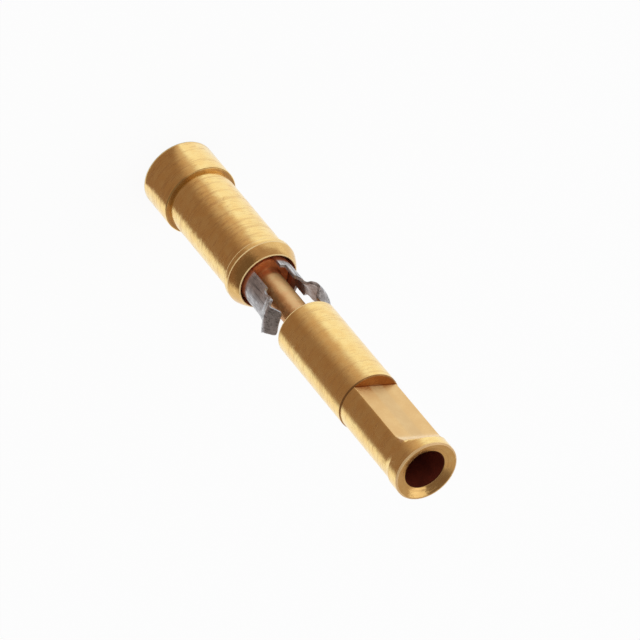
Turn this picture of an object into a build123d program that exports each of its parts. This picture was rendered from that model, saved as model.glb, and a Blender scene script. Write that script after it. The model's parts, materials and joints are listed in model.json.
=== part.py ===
"""Turned crimp contact with a closed-entry hood and a folded retention clip.

Millimetres. The axis is Z. The origin is the centre of the mating face, on which the
contact stands, and the wire end is at the top. The flat on the crimp barrel faces -Y.
"""

from build123d import *
import math
import os

# Lengths of the sections along the axis, from the mating face up to the wire end
hood_length = 7.55
neck_shown = 3.18
middle_length = 4.94
barrel_length = 4.43

# Crimp barrel, from the wire bore outwards
wire_bore_radius = 0.63
wire_bore_depth = 5.6
drill_point = 118.0
entry_taper = 0.21
entry_depth = 1.60
countersink = 0.24
countersink_depth = 0.20
barrel_wall = 0.40
rim_height = 0.06
rim_length = 0.65
rim_slope = 0.12
rim_round = 0.04
middle_step = 0.04
edge_break = 0.04

# Flat milled along the crimp barrel, with the cutter's run-out under the rim
flat_wall = 0.175
flat_runout_start = 1.35
cutter_radius = 1.10

# Neck
neck_radius = 0.554
neck_round = 0.10
seat_recess = 0.10

# Socket that takes the mating pin
socket_radius = 0.80
socket_depth = 4.45
socket_lead = 0.08
finger_wall = 0.28
finger_slot_width = 0.22
finger_slot_length = 3.0
finger_count = 4
collar_length = 1.5

# Hood
finger_clearance = 0.13
hood_wall = 0.18
front_step = 0.17
front_length = 1.91
ring_height = 0.11
ring_length = 0.26
shoulder_length = 0.55
mouth_wall = 0.025
lip_thickness = 0.50
lip_clearance = 0.05
lip_chamfer = 0.22
hood_round = 0.06

# Retention clip, folded from spring sheet: the sleeve
sheet = 0.12
sleeve_length = 2.60
sleeve_reach = 0.46
clip_gap = 0.12
opening_angle = 57.6
opening_direction = -59.2

# Retention clip: heights of a tine's parts, each counted from the one before
tine_directions = (4.0, 221.0)
band_length = 0.70
band_taper = 0.06
waist_length = 0.23
blade_rise = 0.43
ear_rise = 0.19
ear_length = 0.11
ear_drop = 0.10
tab_height = 0.39

# Retention clip: how wide and how far out a tine's parts are
band_half = 0.59
waist_half = 0.485
blade_half = 0.60
ear_half = 0.735
knee_half = 0.58
tab_half = 0.57
ear_round = 0.12
flare_reach = 0.38
flare_start = 0.26
flare_bend = 0.62
knee_round = 0.10
blade_set_back = 1.30

# Fits between the three pieces
collar_clearance = 0.005
clip_clearance = 0.02
finger_end_gap = 0.05

# Radii that follow from the bores and walls
entry_radius = wire_bore_radius + entry_taper
barrel_radius = entry_radius + barrel_wall
rim_radius = barrel_radius + rim_height
middle_radius = barrel_radius + middle_step
flat_distance = wire_bore_radius + flat_wall
finger_radius = socket_radius + finger_wall
hood_bore_radius = finger_radius + finger_clearance
mouth_radius = hood_bore_radius + mouth_wall
hood_radius = hood_bore_radius + hood_wall
ring_radius = hood_radius + ring_height
front_radius = hood_radius + front_step
lip_radius = socket_radius + lip_clearance
collar_radius = hood_bore_radius - collar_clearance
clip_outer_radius = hood_bore_radius - clip_gap
clip_inner_radius = clip_outer_radius - sheet
seat_radius = clip_inner_radius - clip_clearance

# Heights that follow from the lengths
middle_bottom = hood_length + neck_shown
barrel_bottom = middle_bottom + middle_length
total_length = barrel_bottom + barrel_length
rim_bottom = total_length - rim_length
seat_top = hood_length - seat_recess
sleeve_top = hood_length + sleeve_reach
sleeve_bottom = sleeve_top - sleeve_length
collar_top = sleeve_bottom - clip_clearance
collar_bottom = collar_top - collar_length
finger_bottom = lip_thickness + finger_end_gap
band_top = sleeve_top + band_length
waist_bottom = band_top + band_taper
waist_top = waist_bottom + waist_length
flare_height = waist_top + flare_start
blade_height = waist_top + blade_rise
ear_bottom = blade_height + ear_rise
ear_top = ear_bottom + ear_length
knee_height = ear_top + ear_drop
tab_top = knee_height + tab_height


def cone_height(radius):
    """Height of the point that a drill of this radius leaves."""
    return radius / math.tan(math.radians(drill_point / 2))


def turned(points):
    """Solid turned about Z from a closed outline of (radius, height) points."""
    with BuildPart() as blank:
        with BuildSketch(Plane.XZ):
            with BuildLine():
                Polyline(*points, close=True)
            make_face()
        revolve(axis=Axis.Z)
    return blank.part


def rings(solid, radius, height):
    """The circular edges of a turned solid at one radius and height."""
    return solid.edges().filter_by(GeomType.CIRCLE).filter_by(
        lambda edge: math.isclose(edge.radius, radius, abs_tol=1e-5)
        and math.isclose(edge.center().Z, height, abs_tol=1e-5)
    )


def body_blank():
    """The turned outside of the contact body, from the socket end to the wire end."""
    blank = turned([
        (0, finger_bottom),
        (finger_radius, finger_bottom),
        (finger_radius, collar_bottom),
        (collar_radius, collar_bottom),
        (collar_radius, collar_top),
        (seat_radius, collar_top),
        (seat_radius, seat_top),
        (neck_radius, seat_top),
        (neck_radius, middle_bottom),
        (middle_radius, middle_bottom),
        (middle_radius, barrel_bottom),
        (barrel_radius, barrel_bottom),
        (barrel_radius, rim_bottom - rim_slope),
        (rim_radius, rim_bottom),
        (rim_radius, total_length),
        (0, total_length),
    ])
    blank = fillet(rings(blank, rim_radius, total_length), rim_round)
    blank = fillet(rings(blank, neck_radius, seat_top), neck_round)
    sharp = rings(blank, middle_radius, middle_bottom) + rings(blank, seat_radius, seat_top)
    sharp += rings(blank, collar_radius, collar_bottom) + rings(blank, collar_radius, collar_top)
    return chamfer(sharp, edge_break)


def flat_cutter():
    """What the side cutter takes off for the flat: a step, the flat and a rounded run-out."""
    clear = 2 * rim_radius + cutter_radius
    start = total_length - flat_runout_start
    arc_end = (-flat_distance - cutter_radius, start + cutter_radius)
    with BuildPart() as cutter:
        with BuildSketch(Plane.YZ):
            with BuildLine():
                Polyline(
                    (-flat_distance, start),
                    (-flat_distance, barrel_bottom),
                    (-clear, barrel_bottom),
                    (-clear, start + cutter_radius),
                    arc_end,
                )
                RadiusArc(arc_end, (-flat_distance, start), cutter_radius)
            make_face()
        extrude(amount=clear, both=True)
    return cutter.part


def wire_bore():
    """The countersunk entry that tapers to the wire bore, which ends at the drill point."""
    bore_bottom = total_length - wire_bore_depth
    return turned([
        (0, total_length),
        (entry_radius + countersink, total_length),
        (entry_radius, total_length - countersink_depth),
        (wire_bore_radius, total_length - entry_depth),
        (wire_bore_radius, bore_bottom),
        (0, bore_bottom - cone_height(wire_bore_radius)),
    ])


def socket_bore():
    """The bore for the mating pin, with a short lead at its mouth."""
    bore_top = finger_bottom + socket_depth
    return turned([
        (0, finger_bottom),
        (socket_radius + socket_lead, finger_bottom),
        (socket_radius, finger_bottom + socket_lead),
        (socket_radius, bore_top),
        (0, bore_top + cone_height(socket_radius)),
    ])


def finger_slots():
    """The saw cuts that divide the socket into spring fingers."""
    cut = Pos(0, 0, finger_bottom) * Box(
        collar_radius * 2,
        finger_slot_width,
        finger_slot_length,
        align=(Align.MIN, Align.CENTER, Align.MIN),
    )
    step = 360 / finger_count
    return Part() + [Rot(0, 0, step * (index + 0.5)) * cut for index in range(finger_count)]


def contact_body():
    """The one-piece turned contact: socket, clip seat, neck, middle and crimp barrel."""
    return body_blank() - flat_cutter() - wire_bore() - socket_bore() - finger_slots()


def hood_sleeve():
    """The turned hood: front section, plain section, ring, rounded shoulder and bore."""
    ring_top = hood_length - shoulder_length
    ring_bottom = ring_top - ring_length
    with BuildPart() as hood:
        with BuildSketch(Plane.XZ):
            with BuildLine():
                Polyline(
                    (mouth_radius, hood_length),
                    (hood_bore_radius, hood_length),
                    (hood_bore_radius, lip_thickness),
                    (lip_radius, lip_thickness),
                    (lip_radius, lip_chamfer),
                    (lip_radius + lip_chamfer, 0),
                    (front_radius, 0),
                    (front_radius, front_length),
                    (hood_radius, front_length),
                    (hood_radius, ring_bottom),
                    (ring_radius, ring_bottom),
                    (ring_radius, ring_top),
                )
                TangentArc((ring_radius, ring_top), (mouth_radius, hood_length), tangent=(0, 1))
            make_face()
        revolve(axis=Axis.Z)
    shell = fillet(rings(hood.part, front_radius, 0), hood_round)
    return chamfer(rings(shell, front_radius, front_length), edge_break)


def clip_blade():
    """Ring with a tine's side profile above its waist: flare, knee and the tab bent inwards."""
    corners = {flare_height: flare_bend, knee_height: knee_round}
    with BuildPart() as ring:
        with BuildSketch(Plane.XZ):
            with BuildLine() as profile:
                Polyline(
                    (clip_inner_radius, waist_top),
                    (clip_inner_radius, flare_height),
                    (clip_inner_radius + flare_reach, knee_height),
                    (clip_inner_radius, tab_top),
                )
                for height, radius in corners.items():
                    bend = profile.vertices().filter_by(
                        lambda point: math.isclose(point.Z, height, abs_tol=1e-5)
                    )
                    fillet(bend, radius)
                offset(amount=sheet, side=Side.RIGHT)
            make_face()
        revolve(axis=Axis((-blade_set_back, 0, 0), (0, 0, 1)))
    return ring.part


def clip_waist():
    """A tine's waist, where the sheet flattens from the sleeve's curve to the blade's."""
    sections = {waist_bottom: 0, waist_top: blade_set_back}
    with BuildPart() as waist:
        for height, set_back in sections.items():
            with BuildSketch(Plane.XY.offset(height)):
                with Locations((-set_back, 0)):
                    Circle(clip_outer_radius + set_back)
                    Circle(clip_inner_radius + set_back, mode=Mode.SUBTRACT)
                Rectangle(
                    2 * clip_outer_radius,
                    2 * waist_half,
                    align=(Align.MIN, Align.CENTER),
                    mode=Mode.INTERSECT,
                )
        loft()
    return waist.part


def tine_outline():
    """Prism over the tine on +X, seen from outside: band, waist, rounded ears and the tab."""
    half = [
        (band_half, sleeve_top - sheet),
        (band_half, band_top),
        (waist_half, waist_bottom),
        (waist_half, waist_top),
        (blade_half, blade_height),
        (ear_half, ear_bottom),
        (ear_half, ear_top),
        (knee_half, knee_height),
        (tab_half, tab_top + 2 * sheet),
    ]
    mirrored = [(-width, height) for width, height in reversed(half)]
    with BuildPart() as prism:
        with BuildSketch(Plane.YZ) as outline:
            with BuildLine():
                Polyline(*half, *mirrored, close=True)
            make_face()
            ears = outline.vertices().filter_by(
                lambda corner: math.isclose(abs(corner.Y), ear_half, abs_tol=1e-5)
            )
            fillet(ears, ear_round)
        extrude(amount=2 * ring_radius)
    return prism.part


def clip_opening():
    """The wedge that the clip's sleeve leaves open on one side."""
    reach = 2 * ring_radius
    edge = reach * math.tan(math.radians(opening_angle / 2))
    with BuildPart() as wedge:
        with BuildSketch():
            with BuildLine():
                Polyline((0, 0), (reach, -edge), (reach, edge), close=True)
            make_face()
        extrude(amount=sleeve_top)
    return Rot(0, 0, opening_direction) * wedge.part


def clip_sleeve(top):
    """Ring of the clip's sheet from the sleeve's lower end up to this height."""
    return turned([
        (clip_inner_radius, sleeve_bottom),
        (clip_outer_radius, sleeve_bottom),
        (clip_outer_radius, top),
        (clip_inner_radius, top),
    ])


def retention_clip():
    """The folded sheet clip: an open sleeve and two tines that spread towards the wire end."""
    outline = tine_outline()
    tine = (clip_sleeve(waist_bottom) & outline) + clip_waist() + (clip_blade() & outline)
    clip = clip_sleeve(sleeve_top) - clip_opening()
    for direction in tine_directions:
        clip += Rot(0, 0, direction) * tine
    return clip


def main():
    """Write one file for each piece."""
    os.makedirs("parts", exist_ok=True)
    pieces = {
        "contact_body": contact_body(),
        "hood_sleeve": hood_sleeve(),
        "retention_clip": retention_clip(),
    }
    for name, piece in pieces.items():
        piece.label = name
        export_step(piece, f"parts/{name}.step")


main()
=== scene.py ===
"""Shapes and finishes of a hooded crimp socket contact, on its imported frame.

The contact stands on its mating end, with its axis on Z and the flat of the crimp
barrel facing -Y. Sizes are in millimetres and turned into metres where meshes are made.
"""
import json
import logging
import math
from dataclasses import dataclass, field
from enum import Enum

import bmesh
import bpy
from mathutils import Matrix, Vector


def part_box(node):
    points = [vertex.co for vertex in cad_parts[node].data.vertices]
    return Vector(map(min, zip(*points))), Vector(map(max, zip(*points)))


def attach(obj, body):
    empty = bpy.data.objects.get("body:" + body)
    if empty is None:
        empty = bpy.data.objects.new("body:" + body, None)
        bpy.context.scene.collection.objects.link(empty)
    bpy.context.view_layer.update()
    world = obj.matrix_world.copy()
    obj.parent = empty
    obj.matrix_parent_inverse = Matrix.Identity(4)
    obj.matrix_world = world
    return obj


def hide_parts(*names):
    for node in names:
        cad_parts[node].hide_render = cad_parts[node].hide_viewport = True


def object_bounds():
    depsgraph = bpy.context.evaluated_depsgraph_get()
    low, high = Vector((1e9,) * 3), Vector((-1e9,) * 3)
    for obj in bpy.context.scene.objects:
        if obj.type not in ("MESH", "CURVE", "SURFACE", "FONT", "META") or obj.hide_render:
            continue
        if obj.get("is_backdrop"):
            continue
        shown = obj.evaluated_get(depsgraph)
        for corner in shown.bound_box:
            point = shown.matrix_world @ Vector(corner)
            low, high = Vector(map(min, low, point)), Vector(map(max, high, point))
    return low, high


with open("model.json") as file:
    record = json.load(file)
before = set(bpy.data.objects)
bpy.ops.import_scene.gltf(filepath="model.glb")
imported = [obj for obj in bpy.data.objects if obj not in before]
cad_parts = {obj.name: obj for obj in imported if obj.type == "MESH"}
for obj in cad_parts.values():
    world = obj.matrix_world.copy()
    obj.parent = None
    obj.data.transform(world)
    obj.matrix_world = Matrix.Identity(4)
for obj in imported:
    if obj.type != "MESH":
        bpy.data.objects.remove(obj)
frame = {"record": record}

CAD_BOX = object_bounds()

MM = 0.001
TURNED_CREASE = 32.0
SHEET_CREASE = 40.0
ARC_STEPS = 12
SLACK = 0.001
FULL_TURN = 360
ALMOST_ZERO = 1e-9

FLOAT = "NodeSocketFloat"
VECTOR = "NodeSocketVector"
WHOLE = "NodeSocketInt"
FLAG = "NodeSocketBool"
GEOMETRY = "NodeSocketGeometry"
MATERIAL = "NodeSocketMaterial"

Pair = tuple[float, float]
Colour = tuple[float, float, float]
Socket = bpy.types.NodeSocket
Outputs = bpy.types.NodeOutputs
Inputs = bpy.types.NodeInputs
Tree = bpy.types.NodeTree
Material = bpy.types.Material
Piece = bpy.types.Object

log = logging.getLogger("crimp_contact")


class Slot(Enum):
    """The record's material slots."""

    GOLD_PLATE = "gold_plate"
    SPRING_STEEL = "spring_steel"


class Part(Enum):
    """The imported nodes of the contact."""

    BODY = "contact_body"
    HOOD = "hood_sleeve"
    CLIP = "retention_clip"


def mount_radius(name: str) -> float:
    """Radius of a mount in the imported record, in millimetres."""
    mount = next(entry for entry in frame["record"]["mounts"] if entry["name"] == name)
    return mount["dims"]["r_mm"]


def node_height(part: Part, end: int) -> float:
    """Height of a node's lowest (0) or highest (1) corner, in millimetres."""
    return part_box(part.value)[end][2] / MM


def from_mount(name: str) -> float:
    """A dataclass field that reads a mount's radius from the frame."""
    return field(default_factory=lambda: mount_radius(name))


def from_node(part: Part, end: int) -> float:
    """A dataclass field that reads a node's height from the frame."""
    return field(default_factory=lambda: node_height(part, end))


def opaque(tone: object) -> object:
    """A colour with full alpha; a socket is given back as it is."""
    return (*tone, 1.0) if isinstance(tone, tuple) else tone


class NodeSheet:
    """A node tree with short calls that add and join its nodes."""

    def __init__(self, tree: Tree) -> None:
        """Keep the tree that the calls work on."""
        self.tree = tree

    def add(self, kind: str, **settings: object) -> bpy.types.Node:
        """Add a node and set its properties.

        Args:
            kind: The node's type name.
            settings: Properties of the node by name.

        Returns:
            The new node.
        """
        node = self.tree.nodes.new(kind)
        for name, value in settings.items():
            setattr(node, name, value)
        return node

    def feed(self, target: Socket, value: object) -> None:
        """Join a socket to an input, or set the input's own value.

        Args:
            target: The input socket.
            value: An output socket, a number, or a tuple.
        """
        if isinstance(value, Socket):
            self.tree.links.new(value, target)
        else:
            target.default_value = value

    def use(self, kind: str, inputs: dict, **settings: object) -> Outputs:
        """Add a node, set its properties and feed its inputs.

        Args:
            kind: The node's type name.
            inputs: Values or sockets by input name or number.
            settings: Properties of the node by name.

        Returns:
            The node's outputs.
        """
        node = self.add(kind, **settings)
        for key, value in inputs.items():
            self.feed(node.inputs[key], value)
        return node.outputs

    def get(self, kind: str, inputs: dict, **settings: object) -> Socket:
        """Add a node as use does, and return its first output."""
        return self.use(kind, inputs, **settings)[0]

    def math(self, operation: str, *values: object) -> Socket:
        """Add a Math node and return its result."""
        return self.get("ShaderNodeMath", dict(enumerate(values)), operation=operation)

    def times(self, first: object, second: object) -> Socket:
        """Product of two numbers."""
        return self.math("MULTIPLY", first, second)

    def less(self, first: object, second: object) -> Socket:
        """First number less the second."""
        return self.math("SUBTRACT", first, second)

    def vector(self, operation: str, *values: object) -> Socket:
        """Add a Vector Math node and return its result, a vector or a number."""
        slots = (0, 3) if operation == "SCALE" else (0, 1)
        outputs = self.use("ShaderNodeVectorMath", dict(zip(slots, values)), operation=operation)
        return outputs[1 if operation in ("LENGTH", "DOT_PRODUCT") else 0]

    def split(self, vector: Socket) -> Outputs:
        """Split a vector into its X, Y and Z."""
        return self.use("ShaderNodeSeparateXYZ", {0: vector})

    def combine(self, x: object, y: object, z: object) -> Socket:
        """Make a vector from its X, Y and Z."""
        return self.get("ShaderNodeCombineXYZ", {0: x, 1: y, 2: z})

    def from_axis(self, place: Outputs) -> Socket:
        """Distance of a place, given as X, Y and Z, from the contact's axis."""
        return self.vector("LENGTH", self.combine(place[0], place[1], 0.0))

    def fade(self, value: object, low: float, high: float, start: float = 0.0, end: float = 1.0) -> Socket:
        """Smooth step of a value.

        Args:
            value: The socket to read.
            low: The value at which the step starts.
            high: The value at which the step ends.
            start: The result below the step.
            end: The result above the step.

        Returns:
            The step's result.
        """
        inputs = {"Value": value, "From Min": low, "From Max": high, "To Min": start, "To Max": end}
        return self.get("ShaderNodeMapRange", inputs, interpolation_type="SMOOTHSTEP")

    def noise(self, vector: object, scale: float, detail: float = 2.0, rough: float = 0.6) -> Socket:
        """Noise value, about 0.5 on average.

        Args:
            vector: The coordinates' socket.
            scale: How many waves one unit of the coordinates holds.
            detail: How many finer layers are added.
            rough: How strong the finer layers are.

        Returns:
            The noise's value.
        """
        inputs = {"Vector": vector, "Scale": scale, "Detail": detail, "Roughness": rough}
        return self.get("ShaderNodeTexNoise", inputs)

    def blend(self, amount: object, first: object, second: object) -> Socket:
        """Mix two numbers by the share of the second."""
        return self.get("ShaderNodeMix", {0: amount, 2: first, 3: second}, data_type="FLOAT")

    def tint(self, amount: object, first: object, second: object) -> Socket:
        """Mix two colours by the share of the second."""
        inputs = {0: amount, 6: opaque(first), 7: opaque(second)}
        return self.use("ShaderNodeMix", inputs, data_type="RGBA")[2]

    def show(self, surface: Socket, target: str = "ShaderNodeOutputMaterial") -> None:
        """Join a shader to the tree's output node."""
        self.feed(self.add(target).inputs["Surface"], surface)


def blank_material(name: str) -> tuple[Material, NodeSheet]:
    """Make a material with an empty node tree."""
    material = bpy.data.materials.new(name)
    material.use_nodes = True
    material.node_tree.nodes.clear()
    return material, NodeSheet(material.node_tree)


def new_group(name: str, inputs: dict[str, float],
              outputs: dict[str, str]) -> tuple[NodeSheet, Outputs, Inputs]:
    """Start a shader node group that reads a Vector and some numbers.

    Args:
        name: The group's name.
        inputs: Default values of the numbers by name.
        outputs: Socket types by output name.

    Returns:
        The group's sheet, what it is given, and where its results go.
    """
    tree = bpy.data.node_groups.new(name, "ShaderNodeTree")
    tree.interface.new_socket("Vector", in_out="INPUT", socket_type=VECTOR)
    for key, value in inputs.items():
        tree.interface.new_socket(key, in_out="INPUT", socket_type=FLOAT).default_value = value
    for key, kind in outputs.items():
        tree.interface.new_socket(key, in_out="OUTPUT", socket_type=kind)
    sheet = NodeSheet(tree)
    return sheet, sheet.add("NodeGroupInput").outputs, sheet.add("NodeGroupOutput").inputs


def ring_noise(sheet: NodeSheet, place: Outputs, pitch: Socket, round_scale: float,
               pitch_share: float) -> Socket:
    """Noise that changes quickly from ring to ring and slowly round the piece.

    Args:
        sheet: The sheet to build on.
        place: X, Y and Z of the surface.
        pitch: The ring number, as a fraction.
        round_scale: How many waves a metre of X or Y holds.
        pitch_share: How many waves one ring holds.

    Returns:
        The noise's value.
    """
    wide = sheet.times(place[0], round_scale)
    deep = sheet.times(place[1], round_scale)
    return sheet.noise(sheet.combine(wide, deep, sheet.times(pitch, pitch_share)), 1.0)


class SurfaceEffects:
    """The shader node groups that the finishes share."""

    def __init__(self) -> None:
        """Build each group once."""
        self.tool_marks = self.make_tool_marks()
        self.grain = self.make_grain()
        self.scuffs = self.make_scuffs()
        self.ring_swing = self.make_ring_swing()

    @staticmethod
    def make_tool_marks() -> Tree:
        """Fine rings that a lathe tool leaves, broken up round the piece.

        Returns:
            The group. Spacing is in metres, Lean tilts the rings' layers so that end faces
            get rings too, and the outputs run from 0 to 1.
        """
        short_waves, short_share, short_limits = 1500.0, 0.8, (0.57, 0.66)
        long_waves, long_share, long_limits = 420.0, 0.42, (0.57, 0.64)
        long_height, long_strength, line_depth = 0.9, 0.7, 0.4
        inputs = {"Spacing": 0.00005, "Lean": 1.37}
        sheet, given, result = new_group("tool_marks", inputs, {"Height": FLOAT, "Lines": FLOAT})
        place = sheet.split(given["Vector"])
        along = sheet.math("MULTIPLY_ADD", sheet.from_axis(place), given["Lean"], place[2])
        pitch = sheet.math("DIVIDE", along, given["Spacing"])
        short = ring_noise(sheet, place, pitch, short_waves, short_share)
        long = ring_noise(sheet, place, pitch, long_waves, long_share)
        ring = sheet.times(sheet.fade(long, *long_limits), long_strength)
        lines = sheet.math("MAXIMUM", sheet.fade(short, *short_limits), ring)
        mixed = sheet.math("MULTIPLY_ADD", long, long_height, short)
        sheet.feed(result["Height"], sheet.less(mixed, sheet.times(lines, line_depth)))
        sheet.feed(result["Lines"], lines)
        return sheet.tree

    @staticmethod
    def make_ring_swing() -> Tree:
        """Normals that swing a little round the axis, by another amount from ring to ring.

        Returns:
            The group. Spacing is in metres, and Amount is how far the normal swings.
        """
        layers = ((3200.0, 0.55), (7000.0, 1.5))
        inputs = {"Spacing": 0.00006, "Amount": 0.1}
        sheet, given, result = new_group("ring_swing", inputs, {"Normal": VECTOR})
        place = sheet.split(given["Vector"])
        pitch = sheet.math("DIVIDE", place[2], given["Spacing"])
        waves = [ring_noise(sheet, place, pitch, scale, share) for scale, share in layers]
        swing = sheet.times(sheet.less(sheet.math("ADD", *waves), 1.0), given["Amount"])
        across = sheet.combine(sheet.times(place[1], -1.0), place[0], 0.0)
        aside = sheet.vector("SCALE", sheet.vector("NORMALIZE", across), swing)
        normal = sheet.add("ShaderNodeNewGeometry").outputs["Normal"]
        sheet.feed(result["Normal"], sheet.vector("NORMALIZE", sheet.vector("ADD", normal, aside)))
        return sheet.tree

    @staticmethod
    def make_grain() -> Tree:
        """Mottled grain with a coarse and a fine layer.

        Returns:
            The group. Size is in metres and the outputs run from 0 to 1.
        """
        coarse_limits, fine_waves = (0.35, 0.65), 9.0
        sheet, given, result = new_group("grain", {"Size": 0.0004}, {"Coarse": FLOAT, "Fine": FLOAT})
        small = sheet.vector("SCALE", given["Vector"], sheet.math("DIVIDE", 1.0, given["Size"]))
        sheet.feed(result["Coarse"], sheet.fade(sheet.noise(small, 1.0, 3.0), *coarse_limits))
        sheet.feed(result["Fine"], sheet.noise(small, fine_waves))
        return sheet.tree

    @staticmethod
    def make_scuffs() -> Tree:
        """Sparse short scratches that lie across the tool marks.

        Returns:
            The group. Size is a scratch's spacing in metres and the output runs from 0 to 1.
        """
        line_waves, line_rough, line_limits = 1.3, 0.4, (0.004, 0.014)
        gap_waves, gap_rough, gap_limits = 2.6, 0.5, (0.52, 0.58)
        sheet, given, result = new_group("scuffs", {"Size": 0.0009}, {"Lines": FLOAT})
        small = sheet.vector("SCALE", given["Vector"], sheet.math("DIVIDE", 1.0, given["Size"]))
        level = sheet.math("ABSOLUTE", sheet.less(sheet.noise(small, line_waves, 1.0, line_rough), 0.5))
        line = sheet.fade(level, *line_limits, 1.0, 0.0)
        broken = sheet.fade(sheet.noise(small, gap_waves, 1.0, gap_rough), *gap_limits)
        sheet.feed(result["Lines"], sheet.times(line, broken))
        return sheet.tree


class Finish:
    """Base of the finishes: starts a material and places shared groups in it."""

    @staticmethod
    def start(name: str) -> tuple[Material, NodeSheet, Inputs, Socket]:
        """Make a material with a Principled shader.

        Args:
            name: The material's name.

        Returns:
            The material, its sheet, its shader's inputs and the Object coordinates.
        """
        material, sheet = blank_material(name)
        shader = sheet.add("ShaderNodeBsdfPrincipled")
        sheet.show(shader.outputs[0])
        return material, sheet, shader.inputs, sheet.add("ShaderNodeTexCoord").outputs["Object"]

    @staticmethod
    def place(sheet: NodeSheet, group: Tree, **inputs: object) -> Outputs:
        """Place a shared group in a material and feed its inputs by name."""
        return sheet.use("ShaderNodeGroup", inputs, node_tree=group)

    @staticmethod
    def bump(sheet: NodeSheet, depth: float, **inputs: object) -> Socket:
        """Normal of a surface whose Height reaches a depth given in millimetres."""
        return sheet.get("ShaderNodeBump", {"Strength": 1.0, "Distance": depth * MM, **inputs})


@dataclass(frozen=True)
class Zone:
    """A stretch of the turned surface with a finish of its own, between limits in millimetres; many are
    painted shade, highlights or reflections.
    """

    colour: Colour
    mottle: Colour
    roughness: float
    metallic: float = 1.0
    marks_kept: float = 0.5
    radius: Pair = (-1.0, 9.0)
    height: Pair = (-1.0, 99.0)
    front: float = 9.0
    softness: float = 0.02

    def mask(self, sheet: NodeSheet, place: Socket) -> Socket:
        """Share of the zone at a place, 1 inside its limits and 0 outside."""
        spot = sheet.split(place)
        soft = self.softness * MM
        share = sheet.fade(spot[1], self.front * MM, self.front * MM - soft)
        for value, (low, high) in ((sheet.from_axis(spot), self.radius), (spot[2], self.height)):
            share = sheet.times(share, sheet.fade(value, low * MM - soft, low * MM))
            share = sheet.times(share, sheet.fade(value, high * MM, high * MM + soft, 1.0, 0.0))
        return share


def painted_edge_highlight(radius: Pair, height: Pair) -> Zone:
    """A painted highlight along an edge: a thin, pale and matt line of plate."""
    return Zone((1.0, 0.77, 0.40), (0.98, 0.70, 0.32), 0.45, metallic=0.15, marks_kept=0.3,
                radius=radius, height=height, softness=0.012)


@dataclass(frozen=True)
class TurnedGold(Finish):
    """Bright gold plate on a turned piece, with tool marks, mottling, scratches and own zones, many of them
    painted shade, highlights or reflections.
    """

    effects: SurfaceEffects
    name: str
    zones: tuple[Zone, ...] = ()
    colour: Colour = (1.0, 0.76, 0.32)
    stain: Colour = (0.97, 0.68, 0.26)
    worn: Colour = (0.74, 0.47, 0.19)
    worn_share: float = 0.45
    speckle_share: float = 0.6
    speckle_limits: Pair = (0.47, 0.57)
    base_roughness: float = 0.17
    rough_swing: float = 0.14
    zone_swing: float = 0.16
    mark_roughness: float = 0.14
    scuff_roughness: float = 0.16
    grain_size: float = 0.45
    scuff_spacing: float = 0.9
    scuff_depth: float = 0.7
    jitter: float = 0.12
    mark_spacing: float = 0.06
    mark_depth: float = 0.0012
    along_axis: float = 0.25
    stretch: float = 0.55

    def build(self) -> Material:
        """Build the material."""
        material, sheet, shader, place = self.start(self.name)
        spacing = self.mark_spacing * MM
        marks = self.place(sheet, self.effects.tool_marks, Vector=place, Spacing=spacing)
        grain = self.place(sheet, self.effects.grain, Vector=place, Size=self.grain_size * MM)
        scuffs = self.place(sheet, self.effects.scuffs, Vector=place, Size=self.scuff_spacing * MM)["Lines"]
        swing = self.place(sheet, self.effects.ring_swing, Vector=place, Spacing=spacing, Amount=self.jitter)
        worn = sheet.times(marks["Lines"], self.worn_share)
        speckle = sheet.fade(grain["Fine"], *self.speckle_limits, 0.0, self.speckle_share)
        colour = sheet.tint(worn, sheet.tint(grain["Coarse"], self.colour, self.stain), self.worn)
        rough = self.base_roughness - self.rough_swing / 2
        rough = sheet.math("MULTIPLY_ADD", grain["Fine"], self.rough_swing, rough)
        rough = sheet.math("MULTIPLY_ADD", marks["Lines"], self.mark_roughness, rough)
        rough = sheet.math("MULTIPLY_ADD", scuffs, self.scuff_roughness, rough)
        height = sheet.less(marks["Height"], sheet.times(scuffs, self.scuff_depth))
        metallic = 1.0
        for zone in self.zones:
            share = zone.mask(sheet, place)
            own = sheet.tint(grain["Coarse"], zone.colour, zone.mottle)
            for spots in (speckle, worn):
                own = sheet.tint(spots, own, zone.mottle)
            colour = sheet.tint(share, colour, own)
            own_rough = zone.roughness - self.zone_swing / 2
            own_rough = sheet.math("MULTIPLY_ADD", grain["Fine"], self.zone_swing, own_rough)
            rough = sheet.blend(share, rough, own_rough)
            height = sheet.times(height, sheet.blend(share, 1.0, zone.marks_kept))
            if zone.metallic < 1.0:
                metallic = sheet.blend(share, metallic, zone.metallic)
        sheet.feed(shader["Base Color"], colour)
        sheet.feed(shader["Roughness"], rough)
        sheet.feed(shader["Metallic"], metallic)
        bump = self.bump(sheet, self.mark_depth, Height=height, Normal=swing["Normal"])
        sheet.feed(shader["Normal"], bump)
        sheet.feed(shader["Anisotropic"], self.stretch)
        sheet.feed(shader["Anisotropic Rotation"], self.along_axis)
        return material


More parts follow.
